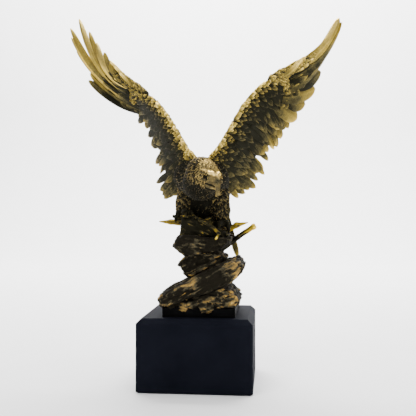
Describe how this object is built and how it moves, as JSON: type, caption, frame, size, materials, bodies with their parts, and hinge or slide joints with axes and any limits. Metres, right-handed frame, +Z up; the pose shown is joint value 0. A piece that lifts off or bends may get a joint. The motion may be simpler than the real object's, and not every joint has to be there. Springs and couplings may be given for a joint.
{
  "type": "statuette",
  "caption": "Bronze eagle figurine with raised wings, talons on a log above stacked rocks, on a black riser and a square chamfered plinth.",
  "frame": {"origin": "middle of the resting face, the underside of the felt, on the floor", "axes": "+Z up; the plinth's sides run along X and Y; the bird looks towards -Y and its left wing is on +X"},
  "size_m": [0.2591, 0.117, 0.3404],
  "materials": {
    "felt": "matt felt",
    "black_lacquer": "black satin lacquer",
    "fixing_steel": "zinc plated",
    "rock_bronze": "brown patina with rubbed edges",
    "log_bronze": "yellow-brown patina with rubbed edges",
    "bird_bronze": "dark patina with rubbed edges",
    "feather_bronze": "dark patina, rubbed bright on the feathers",
    "talon_bronze": "rubbed golden patina"
  },
  "bodies": {
    "root": {"base_felt": "felt", "plinth": "black_lacquer", "riser_block": "black_lacquer", "tie_rod": "fixing_steel", "tie_rod_nut": "fixing_steel", "tie_rod_washer": "fixing_steel", "riser_dowels": "fixing_steel", "rock_foot": "rock_bronze", "rock_ledge": "rock_bronze", "rock_middle": "rock_bronze", "rock_crown": "rock_bronze", "perch_log": "log_bronze", "side_twig": "log_bronze", "torso": "bird_bronze", "head": "bird_bronze", "tail_fan": "feather_bronze", "left_leg": "bird_bronze", "right_leg": "bird_bronze", "left_foot": "talon_bronze", "right_foot": "talon_bronze", "left_wing_arm": "feather_bronze", "right_wing_arm": "feather_bronze", "left_wing_hand": "feather_bronze", "right_wing_hand": "feather_bronze", "left_alula": "feather_bronze", "right_alula": "feather_bronze", "wing_dowels": "fixing_steel", "neck_dowel": "fixing_steel", "tail_dowel": "fixing_steel"}
  },
  "joints": []
}
